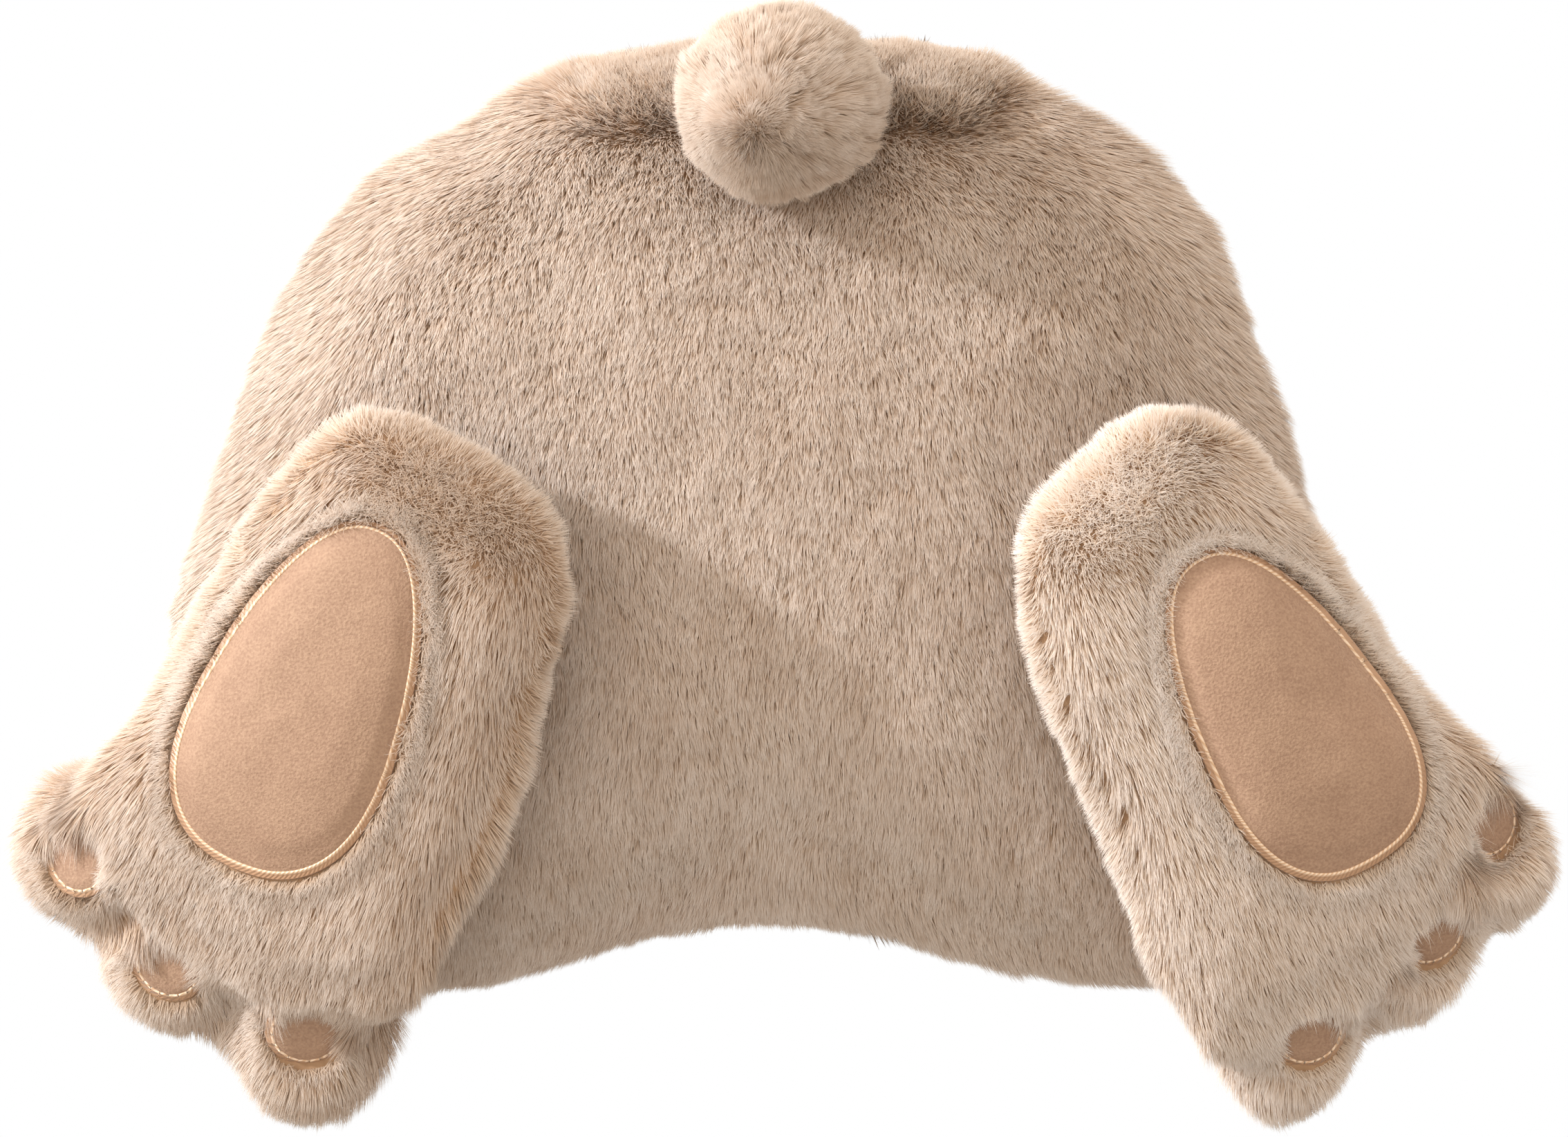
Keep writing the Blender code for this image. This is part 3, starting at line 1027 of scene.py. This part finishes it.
def thinned(count: int) -> int:
    return count


@dataclass
class Body:
    """The filled body, its pile combed from the tail to the feet and parted below the top edge.

    Attributes:
        back_below: the facing below which the skin belongs to the back.
        split_mm: where the front's pile is divided into a left and a right piece.
        parting_mm: where, inside the outline, the pile turns from outward to down.
        standing_mm: how far inside the top edge the pile stands up, and over what width.
        hidden_mm: how near the feet the body is out of sight.
    """

    voxel_mm: float = 6.0
    inset_mm: float = 6.0
    front: PileCut = PileCut()
    back: PileCut = PileCut(width_mm=2.2, tuft_mm=5.0)
    front_locks: int = 190000
    back_locks: int = 90000
    back_below: float = -0.3
    split_mm: float = -12.0
    parting_mm: Pair = (3.0, 46.0)
    standing_mm: Pair = (22.0, 13.0)
    top: Pair = (0.88, 0.96)
    hidden_mm: float = 4.0
    outline: Outline = field(init=False)

    def build(self, backing: Material, pile: Material) -> None:
        """Builds the skin, and the pile in three pieces: front left, front right and back."""
        self.outline = Outline("body", (0.0, 0.0))
        skin = PaddedSkin("body", self.voxel_mm, self.inset_mm, fill=0.75, lump_mm=1.8)
        skin.furrow = self.lifted
        skin.build(backing)
        middles, facings = skin.middles()
        front = facings[:, 2] > self.back_below
        seen = np.where(self.covered(middles), 0.0, 1.0)
        left = middles[:, 0] < self.split_mm * MM
        coats = (
            (PileCoat("body_fur_left", self.front, thinned(self.front_locks), 1), front & left),
            (PileCoat("body_fur_right", self.front, thinned(self.front_locks), 2), front & ~left),
            (PileCoat("body_fur_back", self.back, thinned(self.back_locks), 3), ~front),
        )
        for coat, region in coats:
            coat.grow(skin, region * seen, self.comb, pile)

    def standing(self, places: Array) -> Array:
        """How far the pile stands at each place: it does in a band below the top edge."""
        middle, width = self.standing_mm
        away = (self.outline.inside(places) / MM - middle) / width
        return np.exp(-(away**2)) * self.topmost(places)

    def topmost(self, places: Array) -> Array:
        """How far each place belongs to the part near the tail, where the pile is parted."""
        return eased(self.outline.outward(places)[:, 1], *self.top)

    def lifted(self, places: Array) -> Array:
        """A furrow below zero, which lifts the skin where the pile is short and stands."""
        return -self.standing(places)

    def covered(self, middles: Array) -> Array:
        """Says which triangles lie out of sight below the feet."""
        feet = [node_surface(f"foot_{side.value}") for side in Side]
        reach = self.hidden_mm * MM
        return np.array(
            [any(foot.find_nearest(place, reach)[0] for foot in feet) for place in middles.tolist()]
        )

    def comb(self, places: Array, normals: Array) -> Combing:
        """The body's pile runs down to the feet, and outward near the edge."""
        edge = near(self.outline.inside(places), self.parting_mm)
        side = sideways(normals)
        outward = self.outline.outward(places)
        outward[:, 1] = np.where(outward[:, 1] > 0, outward[:, 1] * self.topmost(places), outward[:, 1])
        sweep = np.array([0.0, -0.9, 0.0]) + (1.4 * edge)[:, None] * outward
        sweep -= (0.5 * side)[:, None] * UP
        standing = self.standing(places)
        # Painted shade: the band of standing pile is painted a little darker for the shade between its
        # upright hairs, and the top edge near the tail darker to tone down the light from the room's
        # bright side.
        shade = -0.05 * standing - 0.45 * edge * self.topmost(places)
        return Combing(sweep * (1 - 0.65 * standing)[:, None], 1 - 0.15 * standing, shade)


@dataclass
class Tail:
    """The pompom, its pile parted at a crown left and below its middle."""

    voxel_mm: float = 4.0
    inset_mm: float = 8.0
    cut: PileCut = PileCut(
        length_mm=14.0, lean_deg=56.0, height_mm=8.0, tuft_mm=3.6, gather=0.5, least_lean=0.85, stray=0.65
    )
    locks: int = 80000
    crown: Triple = (-0.4, -0.32, 0.86)
    middle: Array = field(init=False)

    def build(self, backing: Material, pile: Material) -> None:
        """Builds the skin and the pile."""
        low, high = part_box("tail")
        self.middle = (np.array(low) + np.array(high)) / 2
        skin = PaddedSkin("tail", self.voxel_mm, self.inset_mm, fill=0.8, furrow_mm=4.0)
        skin.furrow = self.lifted
        skin.build(backing)
        middles, _ = skin.middles()
        coat = PileCoat("tail_fur", self.cut, thinned(self.locks), 4)
        coat.grow(skin, np.ones(len(middles)), self.comb, pile)

    def comb(self, places: Array, normals: Array) -> Combing:
        """The pompom's pile runs away from its crown."""
        spokes = unit(places - self.middle)
        crown = np.array(self.crown)
        # Painted shade: the whole pompom is painted darker to tone down its lit side, and a little darker
        # towards the crown, where the pile parts into a hollow.
        shade = 0.08 * eased(1 - spokes @ crown, 0.3, 1.2) - 0.34
        return Combing((spokes - crown) * 1.2, 1 + 0.15 * self.lifted(places), shade)

    def lifted(self, places: Array) -> Array:
        """A furrow below zero, which lifts the skin at the crown, where the pile is short and stands."""
        away = np.linalg.norm(unit(places - self.middle) - np.array(self.crown), axis=1)
        return -np.exp(-((away / 0.3) ** 2))


@dataclass
class Foot:
    """A filled foot, sole up, with its patches.

    Attributes:
        middle: where the bearings of its outline are taken from.
        toeward: the direction from heel to toes, seen from above.
        inward: the direction to the middle of the cushion.
        heel: the middle of the spot at the heel where the pile stands.
        heel_shade: how much darker that spot is painted, for the shade between its upright hairs.
        painted_light: how much paler than the body's its pile is painted, for the light that falls on
            this foot; below 0 it is painted darker.
        flare: how far the pile of the inner side turns outward.
        seam_mm: how far inside the outline the side seam lies.
        dash_mm: the spacing of the seam's dimples, or 0 for a furrow without a break.
        dimples_below: how far up the foot the dimples show.
        overhang: how much longer the pile is that falls over each toe's patch.
        parting_mm: where, inside the outline, the pile turns from outward to the toes.
        rim_shade: how much darker the pile round the sole's patch is painted, for the shade in the hollow
            round it.
        heel_mm, heel_slant: the length and width of that spot, and how it is turned.
        dimple_share: how deep in the seam's furrow a dimple starts.
        bare_mm: how far beside a patch, and above or below it, no pile stands.
        below: the facing below which the foot is hidden, and how dense its pile is there.
    """

    side: Side
    middle: Pair
    toeward: Triple
    inward: float
    heel: Pair
    heel_shade: float
    painted_light: float
    flare: float
    overhang: Triple
    seed: int
    seam_mm: float = 13.0
    dash_mm: float = 0.0
    dimples_below: float = -1.0
    voxel_mm: float = 4.5
    inset_mm: float = 6.0
    cut: PileCut = PileCut(
        length_mm=12.0, lean_deg=69.0, width_mm=0.6, tuft_mm=2.0, gather=0.16, stray=0.1, jitter=0.09
    )
    locks: int = 170000
    parting_mm: Pair = (3.0, 22.0)
    rim_shade: float = 0.12
    heel_mm: Pair = (40.0, 22.0)
    heel_slant: Pair = (0.72, 0.69)
    dimple_share: float = 0.88
    bare_mm: Pair = (1.4, 12.0)
    below: Pair = (-0.75, 0.5)
    outline: Outline = field(init=False)
    patches: list[SewnPatch] = field(init=False)

    def build(self, backing: Material, pile: Material, velour: Material, stitch: Material) -> None:
        """Builds the skin, the patches with their edging, and the pile."""
        name = self.side.value
        self.outline = Outline(f"foot_{name}", self.middle)
        toes = [f"{name}_{number}" for number in (1, 2, 3)]
        self.patches = [
            SewnPatch(f"sole_{name}", f"sole_edging_{name}", steps=180, rings=20, puff_mm=3.8),
            *(SewnPatch(f"toe_patch_{toe}", f"toe_edging_{toe}", 72, 9, puff_mm=1.4) for toe in toes),
        ]
        skin = PaddedSkin(f"foot_{name}", self.voxel_mm, self.inset_mm, fill=0.8, lump_mm=0.8)
        skin.patches = self.patches
        skin.furrow = self.relief
        skin.build(backing)
        for patch in self.patches:
            patch.build_velour(velour)
            patch.build_band(stitch)
        middles, facings = skin.middles()
        nearest = np.min([patch.clearance(middles) for patch in self.patches], axis=0)
        facing, share = self.below
        weight = np.where(facings[:, 2] < facing, share, 1 + 1.5 * near(nearest, (4, 12)))
        coat = PileCoat(f"foot_{name}_fur", self.cut, thinned(self.locks), self.seed)
        coat.grow(skin, weight, self.comb, pile, self.bare, self.parted)

    def furrow(self, places: Array) -> Array:
        """How near each place is to the seam along the foot's inner side, from 0 to 1."""
        away = self.outline.inside(places) / MM - self.seam_mm
        inner = eased(self.outline.outward(places)[:, 0] * self.inward, 0.45, 0.8)
        found = np.exp(-0.5 * (away / 1.5) ** 2) * inner
        if self.dash_mm:
            turn = places[:, 1] / MM * math.tau / self.dash_mm
            found *= eased(np.sin(turn + 0.9 * np.sin(0.37 * turn)), 0.2, 0.8)
        return found

    def parted(self, places: Array) -> Array:
        """Says which places lie in a dimple of the seam; a seam with no dimples parts no pile."""
        return (self.furrow(places) > self.dimple_share) & (places[:, 1] < self.dimples_below)

    def relief(self, places: Array) -> Array:
        """The seam's furrow, less the lift of the skin at the heel's spot of standing pile."""
        return 1.4 * self.furrow(places) - self.heel_spot(places)

    def heel_spot(self, places: Array) -> Array:
        """How far each place belongs to the spot at the heel where the pile stands, from 0 to 1."""
        spokes = places[:, :2] - np.array(self.heel)
        length, width = self.heel_mm
        across, down = self.heel_slant
        along = spokes @ np.array([across * self.inward, -down]) / (length * MM)
        beside = spokes @ np.array([down * self.inward, across]) / (width * MM)
        return 1 - eased(np.hypot(along, beside), 0.2, 1.3)

    def bare(self, places: Array) -> Array:
        """Says which places lie below a patch or its band."""
        found = np.zeros(len(places), bool)
        beside, above = self.bare_mm
        for patch in self.patches:
            level = np.abs(patch.height(places)) < above * MM
            found |= (patch.clearance(places) < beside * MM) & level
        return found

    def comb(self, places: Array, normals: Array) -> Combing:
        """The foot's pile runs to the toes, outward near its edge, and away from the patches."""
        sole, *toes = self.patches
        toeward = unit(np.array(self.toeward))
        outward = self.outline.outward(places)
        edge = near(self.outline.inside(places), self.parting_mm)
        side = sideways(normals)
        heel = self.heel_spot(places)
        sweep = (0.85 * (1 - 0.85 * heel) * (1 - 0.5 * edge))[:, None] * toeward
        flare = 0.7 + (self.flare - 0.7) * eased(outward[:, 0] * self.inward, 0.2, 0.7)
        flare += (1.3 - flare) * eased(-(outward @ toeward), 0.2, 0.8)
        sweep += (flare * edge)[:, None] * outward - (0.5 * side)[:, None] * UP
        rim = near(sole.clearance(places), (2, 11))[:, None]
        sweep = sweep * (1 - 0.8 * rim) + 0.36 * sole.outward(places) * rim
        furrow = self.furrow(places)
        # Painted light and shade: each foot's pile is painted paler or darker for the light that falls on
        # it, and darker for the shade on the heel's standing pile, in the seam's furrow and in the hollow
        # round the sole's patch.
        shade = self.painted_light - self.heel_shade * heel - 0.5 * furrow - self.rim_shade * rim[:, 0]
        stretch = 1 - 0.5 * furrow - 0.35 * heel
        for toe, overhang in zip(toes, self.overhang):
            beside = toe.outward(places)
            clear = toe.clearance(places)
            beyond = eased(beside @ toeward, -0.3, 0.4)
            collar = near(clear, (2, 9))
            sweep += (1.1 * near(clear, (5, 24)) * beyond)[:, None] * beside
            sweep *= (1 - 0.7 * collar * beyond)[:, None]
            sweep -= (0.8 * collar * (1 - beyond))[:, None] * beside
            soleward = beside @ unit(sole.centre - toe.centre)
            over = overhang * eased(soleward, 0.2, 0.6) * near(clear, (7, 22))
            sweep += over[:, None] * (0.5 * UP - 0.6 * beside)
            stretch += over
        return Combing(sweep, stretch, shade)


# The studio


@dataclass(frozen=True)
class Studio:
    """The floor, the lights and the camera above the cushion.

    Attributes:
        pixels_per_metre: how large the photograph shows the cushion.
        level: the height at which that holds.
        fill_strength: the brightness of the room's walls and ceiling, on average.
        fill_slope: how much brighter the room is on its bright side than that.
        fill_side: where its bright side lies.
        lens_mm: the lens; a long one, as the picture shows hardly any perspective.
        key_towards_deg: the way that the key light shines, seen from above.
        key_height_deg: how high the key light stands.
    """

    image_width: int = 2268
    pixels_per_metre: float = 4000.0
    level: float = 0.09
    lens_mm: float = 600.0
    sensor_mm: float = 36.0
    aim: Pair = (0.0, 0.0004)
    floor_side: float = 12.0
    key_towards_deg: float = -27.0
    key_height_deg: float = 19.0
    key_strength: float = 4.5
    key_angle_deg: float = 4.0
    key_colour: str = "#F2F7FF"
    fill_strength: float = 1.14
    fill_slope: float = 0.8
    fill_side: Triple = (-0.35, 0.9, 0.42)
    fill_colour: str = "#FFF8EF"

    def build(self) -> None:
        """Builds the floor, the lights and the camera."""
        deselect_all()
        bpy.ops.mesh.primitive_plane_add(size=self.floor_side)
        floor = bpy.context.object
        floor.name = "floor"
        floor.data.materials.append(LitAcrylic().make())
        # The room lights the cushion, from below too: a floor this bright would burn out its edges.
        floor.visible_diffuse = floor.visible_glossy = floor.visible_shadow = False
        self.add_room()
        self.add_key()
        self.add_camera()
        bpy.context.scene.view_settings.view_transform = "Standard"

    def add_room(self) -> None:
        """Adds the soft white room, brighter above and on the key light's side."""
        world = bpy.data.worlds.new("soft white room")
        world.use_nodes = True
        tree = world.node_tree
        place = add_node(tree, "TexCoord").outputs["Generated"]
        bright = tuple(Vector(self.fill_side).normalized())
        facing = add_node(tree, "VectorMath", {0: place, 1: bright}, operation="DOT_PRODUCT")
        inputs = {
            "Value": facing.outputs["Value"],
            "From Min": -1.0,
            "From Max": 1.0,
            "To Min": self.fill_strength - self.fill_slope,
            "To Max": self.fill_strength + self.fill_slope,
        }
        strength = add_node(tree, "MapRange", inputs).outputs[0]
        inputs = {"Color": linear(self.fill_colour), "Strength": strength}
        feed(tree, tree.nodes["Background"], inputs)
        bpy.context.scene.world = world

    def add_key(self) -> None:
        """Adds the key light, low at the upper left."""
        lamp = bpy.data.lights.new("key", "SUN")
        lamp.energy = self.key_strength
        lamp.angle = math.radians(self.key_angle_deg)
        lamp.color = linear(self.key_colour)[:3]
        key = linked("key", lamp)
        towards = math.radians(self.key_towards_deg)
        height = math.radians(self.key_height_deg)
        level = math.cos(height)
        shine = Vector((math.cos(towards) * level, math.sin(towards) * level, -math.sin(height)))
        key.rotation_euler = shine.to_track_quat("-Z", "Y").to_euler()

    def add_camera(self) -> None:
        """Adds the camera, which looks straight down."""
        lens = bpy.data.cameras.new("camera")
        lens.lens, lens.sensor_width = self.lens_mm, self.sensor_mm
        camera = linked("camera", lens)
        width = self.image_width / self.pixels_per_metre
        away = width * self.lens_mm / self.sensor_mm
        camera.location = (self.aim[0], self.aim[1], self.level + away)
        lens.clip_end = 3 * away
        bpy.context.scene.camera = camera


def main() -> None:
    """Builds every piece in order."""
    logging.basicConfig(level=logging.INFO, format="%(name)s: %(message)s")
    pile, backing = BrushedPile().make(), KnittedBacking().make()
    velour, stitch = ShearedVelour().make(), RayonStitch().make()
    Body().build(backing, pile)
    Tail().build(backing, pile)
    feet = (
        Foot(
            Side.LEFT,
            middle=(-0.178, -0.062),
            toeward=(-0.3, -0.95, 0.0),
            inward=1.0,
            heel=(-0.125, 0.026),
            heel_shade=0.45,
            painted_light=-0.04,
            flare=1.3,
            overhang=(0.35, 0.4, 0.8),
            seed=5,
        ),
        Foot(
            Side.RIGHT,
            middle=(0.176, -0.062),
            toeward=(0.36, -0.93, 0.0),
            inward=-1.0,
            heel=(0.124, 0.026),
            heel_shade=0.1,
            painted_light=0.42,
            flare=0.35,
            overhang=(0.35, 1.0, 1.1),
            seed=6,
            dash_mm=13.0,
            dimples_below=-0.01,
        ),
    )
    for foot in feet:
        foot.build(backing, pile, velour, stitch)
    Studio().build()


if __name__ == "__main__":
    main()
